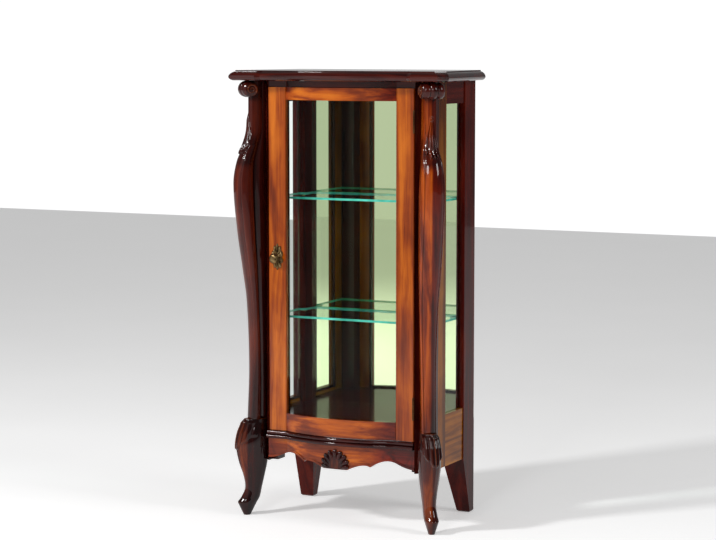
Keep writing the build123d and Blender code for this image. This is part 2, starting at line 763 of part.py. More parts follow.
def make_door():
    keep("door_lock_stile", door_stile(-BOW_HALF, DOOR_LEFT))
    keep("door_hinge_stile", door_stile(BOW_HALF, DOOR_RIGHT))
    z0, z1 = DOOR_Z
    g0, g1 = DOOR_GLASS_Z
    keep("door_bottom_rail", door_rail((z0, g0), (g0 - REBATE, g0)))
    keep("door_top_rail", door_rail((g1, z1), (g1, g1 + REBATE)))
    keep("door_glass", door_glass())
    keep("door_glazing_beads", door_beads())
    keep("knob_plate", knob_plate())
    keep("knob", knob())
    keep("strike_plate", strike_plate())


def make_hinges():
    door_x = (DOOR_RIGHT, DOOR_RIGHT + LEAF_THICK)
    case_x = (OPENING_HALF - LEAF_THICK, OPENING_HALF)
    for name, middle in HINGE_ZS.items():
        keep(name + "_hinge_door_leaf", hinge_leaf(middle, door_x, [(1 / 3, 2 / 3)]))
        keep(name + "_hinge_case_leaf", hinge_leaf(middle, case_x, [(0, 1 / 3), (2 / 3, 1)]))
    keep("hinge_pins", hinge_pins())


make_case()
make_door()
make_hinges()
os.makedirs("parts", exist_ok=True)
for name, shape in MADE.items():
    export_step(shape, "parts/" + name + ".step")
print("nodes", len(MADE))
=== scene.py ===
from math import cos, exp, pi, radians, sin, sqrt

import bmesh
import bpy
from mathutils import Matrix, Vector


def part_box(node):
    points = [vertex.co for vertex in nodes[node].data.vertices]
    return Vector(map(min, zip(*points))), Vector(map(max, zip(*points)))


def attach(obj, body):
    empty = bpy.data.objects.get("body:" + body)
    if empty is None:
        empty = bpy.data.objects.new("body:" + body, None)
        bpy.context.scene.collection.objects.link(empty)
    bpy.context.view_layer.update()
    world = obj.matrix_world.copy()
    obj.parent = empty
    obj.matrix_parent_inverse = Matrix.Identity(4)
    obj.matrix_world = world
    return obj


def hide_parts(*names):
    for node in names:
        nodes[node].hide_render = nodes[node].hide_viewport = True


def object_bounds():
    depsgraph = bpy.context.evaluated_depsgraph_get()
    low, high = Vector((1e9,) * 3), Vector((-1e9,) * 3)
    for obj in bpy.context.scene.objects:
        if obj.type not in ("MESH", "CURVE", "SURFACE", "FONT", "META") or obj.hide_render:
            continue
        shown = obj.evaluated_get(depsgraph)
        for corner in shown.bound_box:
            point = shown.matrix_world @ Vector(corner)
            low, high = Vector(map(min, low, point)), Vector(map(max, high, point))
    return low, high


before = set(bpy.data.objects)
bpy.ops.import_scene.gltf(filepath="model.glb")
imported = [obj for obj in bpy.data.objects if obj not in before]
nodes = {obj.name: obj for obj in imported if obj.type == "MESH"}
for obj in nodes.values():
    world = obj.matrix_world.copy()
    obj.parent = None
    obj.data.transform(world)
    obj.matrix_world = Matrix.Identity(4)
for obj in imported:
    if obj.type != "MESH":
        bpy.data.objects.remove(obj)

cad_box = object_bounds()
scene = bpy.context.scene
scene.view_settings.view_transform = "Standard"

# Lengths are metres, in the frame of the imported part. Forms of the carved pieces are millimetres, times MM
MM = 0.001

# Camera, fitted to the photograph
CAMERA_AT = (2.6716, -5.4362, 1.3275)
CAMERA_AZIMUTH = radians(26.21)
CAMERA_DOWN = radians(5.97)
FOCAL_PIXELS = 2181.2
PHOTO_WIDTH = 716
SENSOR = 36
CLIP_END = 50

# Studio: brightness of the room, of its far wall, of its window side and of the backdrop itself
ROOM_LIGHT = 0.16
WALL_LIGHT = 0.5
WINDOW_LIGHT = 0.5
BACKDROP_LIGHT = 1.05
FLOOR_GLOW = 0.36
FLOOR_HALF = 9

# Area lights: name, place, point aimed at, size and power
LAMPS = (
    ("key_light", (-2.3, -3.2, 3.3), (0, 0, 0.8), (0.45, 0.55), 130),
    ("front_fill", (0.6, -4.4, 2.9), (0, 0, 0.6), (0.8, 0.8), 35),
    ("side_fill", (3.8, -0.2, 2.6), (0, 0, 0.6), (1.0, 1.2), 45),
)

# Corner frame of the pilasters and legs
post_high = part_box("right_corner_post")[1]
door_low, door_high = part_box("door_hinge_stile")
DOOR_FRONT = door_low.y
OPENING_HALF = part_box("frieze_rail")[1].x
CASE_HALF = post_high.x
CHAMFER = CASE_HALF - OPENING_HALF
CORNER_X = OPENING_HALF + CHAMFER / 2
CORNER_Y = DOOR_FRONT + CHAMFER / 2
CASE_TOP = post_high.z
LEG_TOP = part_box("right_front_leg")[1].z
TOTAL_HEIGHT = cad_box[1][2]
SIDES = {"left": -1, "right": 1}


# Small helpers

def smooth(low, high, value):
    """Smooth step from 0 at low to 1 at high. It falls instead where low is above high."""
    share = min(1, max(0, (value - low) / (high - low)))
    return share * share * (3 - 2 * share)


def bump_at(value, centre, width):
    """Rounded bump, 1 at its centre."""
    return exp(-((value - centre) / width) ** 2)


def turn(k, steps):
    """Angle of step k of a full turn."""
    return 2 * pi * k / steps


def along(table, share):
    """Values of a table's row at a share of the length, on a smooth curve through the rows."""
    last = len(table) - 1
    index = 0
    while index < last - 1 and table[index + 1][0] < share:
        index += 1
    a, b = table[index], table[index + 1]
    before = table[max(0, index - 1)]
    after = table[min(last, index + 2)]
    span = b[0] - a[0]
    k = min(1, max(0, (share - a[0]) / span))
    values = []
    for column in range(1, len(a)):
        slope_a = (b[column] - before[column]) / max(1e-6, b[0] - before[0])
        slope_b = (after[column] - a[column]) / max(1e-6, after[0] - a[0])
        values.append(
            a[column] * (1 + 2 * k) * (1 - k) ** 2
            + b[column] * k * k * (3 - 2 * k)
            + span * slope_a * k * (1 - k) ** 2
            - span * slope_b * k * k * (1 - k)
        )
    return values


def to_corner(side, out, across, z):
    """World place of a point: out from the chamfer and along it in millimetres, and up in metres."""
    out, across = out * MM, across * MM
    x = CORNER_X + (out + across) / sqrt(2)
    y = CORNER_Y + (across - out) / sqrt(2)
    return Vector((side * x, y, z))


def add_mesh(name, verts, faces, material, smooth_shading=True):
    """Closed mesh of one material, with its faces turned outwards."""
    mesh = bpy.data.meshes.new(name)
    mesh.from_pydata([tuple(v) for v in verts], [], faces)
    mesh.validate()
    build = bmesh.new()
    build.from_mesh(mesh)
    bmesh.ops.recalc_face_normals(build, faces=build.faces)
    build.to_mesh(mesh)
    build.free()
    for polygon in mesh.polygons:
        polygon.use_smooth = smooth_shading
    piece = bpy.data.objects.new(name, mesh)
    scene.collection.objects.link(piece)
    mesh.materials.append(material)
    return piece


def tube_faces(rings, size):
    """Faces that join closed rings of points, each with the same number of points, and close both ends."""
    faces = []
    for ring in range(rings - 1):
        for k in range(size):
            following = (k + 1) % size
            a = ring * size + k
            b = ring * size + following
            faces.append((a, b, b + size, a + size))
    faces.append(tuple(range(size)))
    faces.append(tuple((rings - 1) * size + k for k in range(size)))
    return faces


def corner_tube(name, side, rings, material):
    """Tube on a corner of the case, through (height in metres, ring of (out, across)) pairs."""
    verts = [to_corner(side, out, across, z) for z, ring in rings for out, across in ring]
    return add_mesh(name, verts, tube_faces(len(rings), len(rings[0][1])), material)


def prism(name, side, outline, z_low, z_high, material):
    """Upright piece with the same outline all the way up."""
    verts = [Vector((side * x, y, z)) for z in (z_low, z_high) for x, y in outline]
    return add_mesh(name, verts, tube_faces(2, len(outline)), material, False)


def join_pieces(name, pieces):
    """One piece made of several loose ones."""
    bpy.ops.object.select_all(action="DESELECT")
    for piece in pieces:
        piece.select_set(True)
    bpy.context.view_layer.objects.active = pieces[0]
    bpy.ops.object.join()
    pieces[0].name = name
    return pieces[0]


def stand_for(piece, body, slot, *replaced):
    """Piece that rides on a body in the place of the nodes it replaces."""
    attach(piece, body)
    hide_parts(*replaced)


# Shader nodes

def new_material(name):
    material = bpy.data.materials.new(name)
    material.use_nodes = True
    tree = material.node_tree
    return material, tree, tree.nodes["Principled BSDF"]


def feed(tree, socket, value):
    """Links a socket to another one, or gives it a plain value."""
    if isinstance(value, bpy.types.NodeSocket):
        tree.links.new(value, socket)
    else:
        socket.default_value = value


def ramp(tree, factor, stops):
    node = tree.nodes.new("ShaderNodeValToRGB")
    elements = node.color_ramp.elements
    while len(elements) < len(stops):
        elements.new(0.5)
    for element, (place, colour) in zip(elements, stops):
        element.position = place
        element.color = (*colour, 1)
    tree.links.new(factor, node.inputs["Fac"])
    return node.outputs["Color"]


def mix(tree, mode, factor, a, b):
    """Blend of two colours. The node's colour sockets are its inputs 6 and 7 and its output 2."""
    node = tree.nodes.new("ShaderNodeMix")
    node.data_type = "RGBA"
    node.blend_type = mode
    for index, value in ((0, factor), (6, a), (7, b)):
        feed(tree, node.inputs[index], value)
    return node.outputs[2]


def mix_shaders(tree, factor, a, b):
    node = tree.nodes.new("ShaderNodeMixShader")
    for index, value in enumerate((factor, a, b)):
        tree.links.new(value, node.inputs[index])
    return node.outputs[0]


def maths(tree, operation, a, b=0.0, c=0.0):
    node = tree.nodes.new("ShaderNodeMath")
    node.operation = operation
    for socket, value in zip(node.inputs, (a, b, c)):
        feed(tree, socket, value)
    return node.outputs[0]


def map_range(tree, value, low, high, to_low=0.0, to_high=1.0):
    node = tree.nodes.new("ShaderNodeMapRange")
    node.interpolation_type = "SMOOTHSTEP"
    tree.links.new(value, node.inputs["Value"])
    for name, number in (("From Min", low), ("From Max", high), ("To Min", to_low), ("To Max", to_high)):
        node.inputs[name].default_value = number
    return node.outputs["Result"]


def noise(tree, vector, scale, detail=3.0, distortion=0.0, roughness=0.5):
    node = tree.nodes.new("ShaderNodeTexNoise")
    node.inputs["Scale"].default_value = scale
    node.inputs["Detail"].default_value = detail
    node.inputs["Distortion"].default_value = distortion
    node.inputs["Roughness"].default_value = roughness
    tree.links.new(vector, node.inputs["Vector"])
    return node.outputs["Fac"]


def object_place(tree):
    return tree.nodes.new("ShaderNodeTexCoord").outputs["Object"]


def geometry(tree, output):
    return tree.nodes.new("ShaderNodeNewGeometry").outputs[output]


def component(tree, vector, axis):
    split = tree.nodes.new("ShaderNodeSeparateXYZ")
    tree.links.new(vector, split.inputs[0])
    return split.outputs["XYZ".index(axis)]


def dot(tree, vector, direction):
    """How far a vector reaches along a fixed direction."""
    node = tree.nodes.new("ShaderNodeVectorMath")
    node.operation = "DOT_PRODUCT"
    node.inputs[1].default_value = direction
    tree.links.new(vector, node.inputs[0])
    return node.outputs["Value"]


# Lacquered wood

GRAIN_STRETCH = 0.055
OFF_MIDDLE_WANDER = 0.04
HEIGHT_WANDER = 0.03
# Soft edge of the painted shade on the carved pieces' side turned from the light
SHADE_SIDE_EDGE = (-0.001, 0.005)
PORE_TINT = (0.62, 0.48, 0.42, 1)
OFF_MIDDLE_TINT = (0.42, 0.11, 0.07, 1)
# Tint of the painted shade on the carved pieces' side turned from the light
SHADE_SIDE_TINT = (0.30, 0.10, 0.09, 1)
HEIGHT_TINT = (0.16, 0.05, 0.05, 1)
# Tint of the painted shade in the hollows and corners
HOLLOW_SHADE_TINT = (0.08, 0.03, 0.02, 1)
# Colour of the painted highlight on the crests of the carving
CREST_HIGHLIGHT_COLOUR = (0.42, 0.085, 0.008, 1)
GLOSS_SPREAD = 0.12
COAT_ROUGHNESS = 0.035
COAT_IOR = 1.34
SPECULAR = 0.05
BUMP_DISTANCE = 0.0006


def grain_vector(tree, place, grain, shift):
    """Place drawn out along the grain, and moved so that pieces differ in their figure."""
    mapping = tree.nodes.new("ShaderNodeMapping")
    mapping.inputs["Location"].default_value = shift
    scale = [1.0, 1.0, 1.0]
    scale["XYZ".index(grain)] = GRAIN_STRETCH
    mapping.inputs["Scale"].default_value = scale
    tree.links.new(place, mapping.inputs["Vector"])
    return mapping.outputs["Vector"]


def darker_off_middle(tree, colour, place, cloud, axis, centre, inner, outer, strength):
    """Darker and redder from inner to outer away from the centre, along one axis. On the bowed door rails
    and the apron this is painted shade, darker where the curve turns from the light.
    """
    distance = maths(tree, "ABSOLUTE", maths(tree, "SUBTRACT", component(tree, place, axis), centre))
    distance = maths(tree, "ADD", distance, -OFF_MIDDLE_WANDER / 2)
    distance = maths(tree, "MULTIPLY_ADD", cloud, OFF_MIDDLE_WANDER, distance)
    shade = map_range(tree, distance, inner, outer, 0.0, strength)
    return mix(tree, "MULTIPLY", shade, colour, OFF_MIDDLE_TINT)


def darker_by_height(tree, colour, place, cloud, rows):
    """Darker by an amount that changes up the piece, by rows of (height, amount)."""
    height = maths(tree, "ADD", component(tree, place, "Z"), -HEIGHT_WANDER / 2)
    height = maths(tree, "MULTIPLY_ADD", cloud, HEIGHT_WANDER, height)
    stops = [(z / TOTAL_HEIGHT, (amount, amount, amount)) for z, amount in rows]
    shade = ramp(tree, maths(tree, "DIVIDE", height, TOTAL_HEIGHT), stops)
    return mix(tree, "MULTIPLY", shade, colour, HEIGHT_TINT)


def wood(name, stops, grain="Z", shift=(0, 0, 0), off_middle=None, gloss=0.13, hollow_shade=True, by_height=None,
         shade_side=None, crest_highlight=0, coat=1.0, grain_depth=0.10):
    """Lacquered wood with long grain along one axis.

    stops are the colours from the darkest figure to the lightest. off_middle is (axis, centre, inner, outer,
    strength) and by_height is rows of (height, amount), as in the functions above. shade_side is (direction,
    offset): darker past the offset along the direction, a painted shade on the side turned from the light.
    hollow_shade paints shade into the hollows, and crest_highlight is the share of orange painted highlight
    on the crests, for finely meshed carving only. coat is the weight of the clear coat.
    """
    material, tree, shader = new_material(name)
    place = object_place(tree)
    vector = grain_vector(tree, place, grain, shift)
    broad = noise(tree, vector, 26, 4, 1.4)
    fine = noise(tree, vector, 190, 5, 0.4, 0.65)
    cloud = noise(tree, place, 5.5, 3, 0.6)
    tone = maths(tree, "MULTIPLY_ADD", broad, 0.62, maths(tree, "MULTIPLY", fine, 0.22))
    tone = maths(tree, "MULTIPLY_ADD", cloud, 0.34, tone)
    colour = ramp(tree, map_range(tree, tone, 0.40, 0.82, 0.34, 0.78), stops)
    pores = map_range(tree, fine, 0.62, 0.78)
    colour = mix(tree, "MULTIPLY", pores, colour, PORE_TINT)
    if off_middle:
        colour = darker_off_middle(tree, colour, place, cloud, *off_middle)
    # Painted shade: darker on the side turned from the light, past an offset along a fixed direction
    if shade_side:
        direction, offset = shade_side
        shade_side_mask = map_range(tree, dot(tree, place, direction), offset + SHADE_SIDE_EDGE[0], offset + SHADE_SIDE_EDGE[1])
        colour = mix(tree, "MULTIPLY", shade_side_mask, colour, SHADE_SIDE_TINT)
    if by_height:
        colour = darker_by_height(tree, colour, place, cloud, by_height)
    # Painted shade: darker in the hollows of the carving and in the corners between parts
    if hollow_shade:
        bevel = geometry(tree, "Pointiness")
        hollow = map_range(tree, bevel, 0.43, 0.495, 0.85, 0.0)
        colour = mix(tree, "MULTIPLY", hollow, colour, HOLLOW_SHADE_TINT)
        # Painted highlight: lighter orange on the crests of the carving
        if crest_highlight:
            crest_highlight_mask = map_range(tree, bevel, 0.515, 0.60, 0.0, crest_highlight)
            colour = mix(tree, "MIX", crest_highlight_mask, colour, CREST_HIGHLIGHT_COLOUR)
    tree.links.new(colour, shader.inputs["Base Color"])
    patch = maths(tree, "MULTIPLY_ADD", cloud, 0.6, maths(tree, "MULTIPLY", fine, 0.4))
    tree.links.new(map_range(tree, patch, 0.3, 0.8, gloss, gloss + GLOSS_SPREAD), shader.inputs["Roughness"])
    shader.inputs["Specular IOR Level"].default_value = SPECULAR
    shader.inputs["Coat Weight"].default_value = coat
    shader.inputs["Coat Roughness"].default_value = COAT_ROUGHNESS
    shader.inputs["Coat IOR"].default_value = COAT_IOR
    bump = tree.nodes.new("ShaderNodeBump")
    bump.inputs["Strength"].default_value = grain_depth
    bump.inputs["Distance"].default_value = BUMP_DISTANCE
    tree.links.new(maths(tree, "MULTIPLY_ADD", fine, 0.5, broad), bump.inputs["Height"])
    tree.links.new(bump.outputs["Normal"], shader.inputs["Normal"])
    return material


# Glass, mirror and metal

GLASS_IOR = 1.5
SHELF_TINT = (0.90, 0.965, 0.935)
SHELF_REFLECT = 0.8
EDGE_GREENS = ((0.3, (0.02, 0.33, 0.24)), (0.7, (0.10, 0.62, 0.48)))
# Strength of the painted glow on the shelf edges
EDGE_PAINTED_GLOW = 0.12
MIRROR_GREENS = ((0.3, (0.72, 0.84, 0.50)), (0.7, (0.76, 0.87, 0.54)))
TARNISH_TINT = (0.1, 0.07, 0.05, 1)


def sheet_surface(tree, tint, reflect):
    """Shader of a thin sheet: clear, with a mirror reflection by Fresnel on the faces that look outwards."""
    clear = tree.nodes.new("ShaderNodeBsdfTransparent")
    clear.inputs["Color"].default_value = (*tint, 1)
    gloss = tree.nodes.new("ShaderNodeBsdfGlossy")
    gloss.inputs["Roughness"].default_value = 0.0
    fresnel = tree.nodes.new("ShaderNodeFresnel")
    fresnel.inputs["IOR"].default_value = GLASS_IOR
    outside = maths(tree, "SUBTRACT", 1.0, geometry(tree, "Backfacing"))
    share = maths(tree, "MULTIPLY", maths(tree, "MULTIPLY", fresnel.outputs[0], outside), reflect)
    return mix_shaders(tree, share, clear.outputs[0], gloss.outputs[0])


def clear_glass(name, tint, reflect):
    material, tree, shader = new_material(name)
    tree.nodes.remove(shader)
    surface = sheet_surface(tree, tint, reflect)
    tree.links.new(surface, tree.nodes["Material Output"].inputs["Surface"])
    return material


def shelf_glass(name):
    """Clear sheet whose narrow edges are turquoise, with a painted glow that stands for light carried
    through the glass.
    """
    material, tree, shader = new_material(name)
    tree.nodes.remove(shader)
    sheet = sheet_surface(tree, SHELF_TINT, SHELF_REFLECT)
    edge = tree.nodes.new("ShaderNodeBsdfPrincipled")
    colour = ramp(tree, noise(tree, object_place(tree), 30, 2), EDGE_GREENS)
    tree.links.new(colour, edge.inputs["Base Color"])
    tree.links.new(colour, edge.inputs["Emission Color"])
    # Painted glow on the narrow edges, an emission for light carried through the glass
    edge.inputs["Emission Strength"].default_value = EDGE_PAINTED_GLOW
    edge.inputs["Roughness"].default_value = 0.1
    upward = component(tree, geometry(tree, "True Normal"), "Z")
    side = maths(tree, "LESS_THAN", maths(tree, "ABSOLUTE", upward), 0.5)
    surface = mix_shaders(tree, side, sheet, edge.outputs[0])
    tree.links.new(surface, tree.nodes["Material Output"].inputs["Surface"])
    return material


def metal(name, stops, rough, scale=60):
    """Metal with patches of colour and gloss, and tarnish in its hollows."""
    material, tree, shader = new_material(name)
    patch = noise(tree, object_place(tree), scale, 4)
    hollow = map_range(tree, geometry(tree, "Pointiness"), 0.42, 0.5, 0.9, 0.0)
    colour = mix(tree, "MULTIPLY", hollow, ramp(tree, patch, stops), TARNISH_TINT)
    tree.links.new(colour, shader.inputs["Base Color"])
    tree.links.new(map_range(tree, patch, 0.3, 0.7, rough, rough + 0.15), shader.inputs["Roughness"])
    shader.inputs["Metallic"].default_value = 1.0
    return material


def mirror_material():
    material, tree, shader = new_material("mirror_silver")
    colour = ramp(tree, noise(tree, object_place(tree), 3, 2), MIRROR_GREENS)
    tree.links.new(colour, shader.inputs["Base Color"])
    shader.inputs["Metallic"].default_value = 1.0
    shader.inputs["Roughness"].default_value = 0.01
    return material


# Palettes: places on the tone's range, and linear colours
DARK = ((0.3, (0.008, 0.0006, 0.0005)), (0.5, (0.030, 0.0020, 0.0012)), (0.8, (0.075, 0.007, 0.003)))
MAROON = ((0.3, (0.016, 0.0008, 0.0006)), (0.5, (0.055, 0.0030, 0.0015)), (0.8, (0.11, 0.009, 0.003)))
LEG = ((0.3, (0.02, 0.0012, 0.0008)), (0.5, (0.085, 0.008, 0.002)), (0.76, (0.26, 0.045, 0.004)))
ORANGE = ((0.30, (0.07, 0.007, 0.001)), (0.45, (0.25, 0.038, 0.002)), (0.60, (0.42, 0.088, 0.004)),
          (0.78, (0.60, 0.155, 0.010)))
APRON = ((0.30, (0.06, 0.006, 0.001)), (0.46, (0.22, 0.032, 0.002)), (0.60, (0.42, 0.082, 0.003)),
         (0.8, (0.60, 0.155, 0.008)))
GOLD = ((0.30, (0.07, 0.014, 0.001)), (0.5, (0.24, 0.068, 0.002)), (0.78, (0.46, 0.16, 0.006)))
RED = ((0.30, (0.05, 0.004, 0.001)), (0.46, (0.22, 0.026, 0.003)), (0.62, (0.48, 0.080, 0.005)),
       (0.8, (0.66, 0.15, 0.010)))
BAND = ((0.30, (0.02, 0.0015, 0.001)), (0.5, (0.075, 0.007, 0.003)), (0.8, (0.16, 0.020, 0.005)))
PLYWOOD = ((0.2, (0.10, 0.05, 0.02)), (0.5, (0.20, 0.11, 0.05)), (0.8, (0.32, 0.19, 0.09)))
ANTIQUE = ((0.3, (0.05, 0.030, 0.012)), (0.7, (0.32, 0.215, 0.095)))
BRONZE = ((0.3, (0.05, 0.022, 0.010)), (0.7, (0.12, 0.055, 0.022)))
BRASS = ((0.3, (0.55, 0.38, 0.14)), (0.7, (0.75, 0.56, 0.26)))

# Darker by height in metres: height, amount
STILE_HEIGHT_ROWS = ((0.2, 0.2), (0.5, 0.15), (0.9, 0.3), (1.08, 0.55), (1.2, 0.85))
LEG_HEIGHT_ROWS = ((0.0, 0.9), (0.035, 0.75), (0.07, 0.25), (0.16, 0.25), (0.2, 0.5), (0.25, 0.7), (0.28, 0.9))
PILASTER_HEIGHT_ROWS = ((0.27, 0.85), (0.36, 0.5), (0.5, 0.28), (0.9, 0.22), (0.985, 0.4), (1.0, 0.85),
                 (1.055, 0.85), (1.09, 0.35), (1.16, 0.3), (1.18, 0.9))

# Painted shade: the carved pieces are darker past these offsets along one fixed direction, which splits them
# at the ridge into a lit side and a shaded side
PAINTED_SHADE_WAY = (cos(CAMERA_AZIMUTH), sin(CAMERA_AZIMUTH), 0)
RIGHT_RIDGE_AT = CORNER_X * PAINTED_SHADE_WAY[0] + CORNER_Y * PAINTED_SHADE_WAY[1] + 0.014
RIGHT_LEG_AT = RIGHT_RIDGE_AT + 0.004
LEFT_LEG_AT = -CORNER_X * PAINTED_SHADE_WAY[0] + CORNER_Y * PAINTED_SHADE_WAY[1] - 0.052
STILE_MIDDLE = (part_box("door_top_rail")[1].x + door_high.x) / 2
RIGHT_STILE_OFF_MIDDLE = ("X", STILE_MIDDLE, 0.018, 0.042, 0.85)
LEFT_STILE_OFF_MIDDLE = ("X", -STILE_MIDDLE, 0.016, 0.040, 0.85)

MATERIALS = {
    "dark": wood("dark_lacquer", DARK, "Z"),
    "dark_x": wood("dark_lacquer_across", DARK, "X"),
    # Painted highlight on the crests of the carving and of the legs
    "carved": wood("carved_lacquer", DARK, "Z", (0.3, 0.1, 0.2), crest_highlight=0.3),
    # Painted shade on the side turned from the light, on both legs
    "leg_left": wood(
        "leg_left", LEG, "Z", (0.3, 0.6, 0.2), by_height=LEG_HEIGHT_ROWS, shade_side=(PAINTED_SHADE_WAY, LEFT_LEG_AT), crest_highlight=0.5),
    "leg_right": wood(
        "leg_right", LEG, "Z", (0.8, 0.6, 0.2), by_height=LEG_HEIGHT_ROWS, shade_side=(PAINTED_SHADE_WAY, RIGHT_LEG_AT), crest_highlight=0.5),
    "maroon": wood("maroon_lacquer", MAROON, "Z", (0.7, 0.4, 0), coat=0.35),
    "maroon_y": wood("maroon_lacquer_side", MAROON, "Y", (0.1, 0.4, 0), coat=0.4),
    "stile_right": wood("orange_stile_right", ORANGE, "Z", (0.2, 0, 0.1), RIGHT_STILE_OFF_MIDDLE),
    "stile_left": wood("orange_stile_left", ORANGE, "Z", (0.9, 0, 0.5), LEFT_STILE_OFF_MIDDLE),
    # Painted shade: the bowed rails and the apron are darker towards their ends, where the curve turns from
    # the light
    "rail": wood("orange_rail", APRON, "X", (0.3, 0.2, 0.6), ("X", -0.02, 0.10, 0.17, 0.9)),
    "apron": wood("orange_apron", APRON, "X", (0.6, 0.2, 0.3), ("X", -0.05, 0.09, 0.20, 1.0)),
    "gold": wood("golden_side", GOLD, "Y", (0.2, 0.5, 0.1), ("Y", 0.04, 0.06, 0.12, 0.9), coat=0.5),
    "gold_z": wood("golden_side_stile", GOLD, "Z", (0.5, 0.5, 0.1), by_height=STILE_HEIGHT_ROWS, coat=0.5),
    # Painted shade on the side turned from the light, and painted highlight on the crests, on the right band
    "band_right": wood(
        "band_right", RED, "Z", (0.1, 0.8, 0.3), by_height=PILASTER_HEIGHT_ROWS, shade_side=(PAINTED_SHADE_WAY, RIGHT_RIDGE_AT),
        crest_highlight=0.12),
    "band_left": wood("band_left", BAND, "Z", (0.4, 0.8, 0.3), by_height=PILASTER_HEIGHT_ROWS),
    "floor_board": wood("floor_board_lacquer", DARK, "X", (0.4, 0.4, 0.4), coat=0.25, grain_depth=0.03),
    "back": wood("back_plywood", PLYWOOD, "Z", gloss=0.45, hollow_shade=False),
    "glass": clear_glass("clear_sheet", (0.95, 0.975, 0.96), 0.6),
    "door_glass": clear_glass("bent_sheet", (0.985, 0.995, 0.99), 0.22),
    "shelf": shelf_glass("shelf_sheet"),
    "mirror": mirror_material(),
    "antique": metal("antique_brass", ANTIQUE, 0.25, 90),
    "hinge": metal("dark_bronze", BRONZE, 0.3),
    "brass": metal("polished_brass", BRASS, 0.15),
}

NODE_LOOKS = {
    "frieze_rail": "dark_x",
    "bottom_board": "floor_board",
    "front_bottom_rail": "dark_x",
    "base_moulding": "dark_x",
    "front_apron": "apron",
    "shell_carving": "carved",
    "rear_top_rail": "dark_x",
    "rear_bottom_rail": "dark_x",
    "mirror": "mirror",
    "back_panel": "back",
    "upper_shelf": "shelf",
    "lower_shelf": "shelf",
    "shelf_pins": "brass",
    "magnetic_catch": "dark",
    "door_lock_stile": "stile_left",
    "door_hinge_stile": "stile_right",
    "door_top_rail": "rail",
    "door_bottom_rail": "rail",
    "door_glass": "door_glass",
    "door_glazing_beads": "dark",
    "strike_plate": "brass",
    "hinge_pins": "hinge",
    "top_board": "dark_x",
    "knob": "antique",
    "knob_plate": "antique",
}
HINGE_LEAVES = [f"{level}_hinge_{leaf}_leaf" for level in ("upper", "lower") for leaf in ("door", "case")]
SIDE_LOOKS = {
    "corner_post": "dark",
    "cabriole_pilaster": "carved",
    "front_leg": "carved",
    "rear_post": "maroon",
    "rear_leg": "maroon",
    "side_front_stile": "gold_z",
    "side_top_rail": "maroon_y",
    "side_bottom_rail": "gold",
    "side_glass": "glass",
    "side_glazing_beads": "dark",
}


def dress_nodes():
    looks = dict(NODE_LOOKS)
    looks.update({name: "hinge" for name in HINGE_LEAVES})
    for side in SIDES:
        looks.update({side + "_" + name: look for name, look in SIDE_LOOKS.items()})
    for name, look in looks.items():
        node = nodes[name]
        node.data.materials.clear()
        node.data.materials.append(MATERIALS[look])


# Carved corner pilaster

# Share of the length, inner and outer distance from the chamfer, half width, in millimetres
PILASTER_FORM = (
    (0.00, 20, 53, 22),
    (0.16, 19, 47.7, 23),
    (0.35, 26, 53.6, 29),
    (0.45, 31, 65.5, 33),
    (0.56, 38, 80, 35.5),
    (0.70, 43, 90, 36),
    (0.765, 40, 80, 32),
    (0.81, 26, 61, 25),
    (0.855, 12, 48.5, 18.5),
    (0.92, 10.5, 46.5, 17),
    (1.00, 10.5, 46.5, 17),
)
PILASTER_TOP = CASE_TOP - 0.001

# The band falls away from its ridge by this share of its half width, and is narrower towards the rear
RIDGE_DROP = 0.42
RIDGE_CURVE = 1.08
BACK_SHARE = 0.78
BAND_SWELL = 0.09
BAND_COLUMNS = 100

# Bead and groove along both edges: place and width as shares of the half width, and height
BEAD_AT, BEAD_WIDTH, BEAD_HEIGHT = 0.93, 0.05, 1.6
GROOVE_AT, GROOVE_WIDTH, GROOVE_DEPTH = 0.82, 0.035, 1.5

# Leaf over the neck: its ends as shares of the pilaster, and its relief
LEAF_TOP = 0.908
LEAF_TIP = 0.786
LEAF_LOBES = 5
LEAF_LIFT = 5.2
LEAF_TOP_WIDTH = 0.34
LEAF_SHADOW = 0.7

# Heights of the band's rings: rows below, at and above the leaf
LEAF_ROWS_LOW = LEAF_TIP - 0.03
LEAF_ROWS_HIGH = LEAF_TOP + 0.01
BAND_ROWS = (120, 170, 20)
WEB_ROWS = 120

# Rolled scroll under the top
SCROLL_OUT = 50
SCROLL_RADIUS = 23.5
SCROLL_HALF = 32
SCROLL_SAG = (5, 1.5)
SCROLL_STEPS = 60
SCROLL_AROUND = 64
SCROLL_RIBS = 9
SCROLL_CEILING = CASE_TOP - 0.0002

# Coil on the scroll's ends
COIL_TURNS = 1.6
COIL_STEPS = 60
COIL_AROUND = 8
COIL_REACH = (3, 12)
COIL_THICKNESS = (1.2, 1.6)
COIL_FLATNESS = 0.9
COIL_SINK = 0.5


def leaf_height(u, share):
    """How far the carved leaf stands off the band, in millimetres. u runs from -1 to 1 across it."""
    down = (LEAF_TOP - share) / (LEAF_TOP - LEAF_TIP)
    if down < -0.02 or down > 1.2:
        return 0
    v = u / (LEAF_TOP_WIDTH + (1 - LEAF_TOP_WIDTH) * smooth(0, 0.62, down))
    if abs(v) > 1:
        return 0
    petal = abs(cos(pi * LEAF_LOBES * v / 2))
    end = 1.0 - 0.16 * v * v - 0.10 * (1 - petal)
    rise = smooth(-0.02, 0.22, down)
    roll = 0.35 * bump_at(down, end - 0.07, 0.05)
    cut = 1 - smooth(end - 0.015, end + 0.02, down)
    rib = 0.12 + 0.88 * petal ** 0.75
    return rise * (LEAF_LIFT * (rib + roll * petal) * cut - LEAF_SHADOW * bump_at(down, end + 0.03, 0.03))


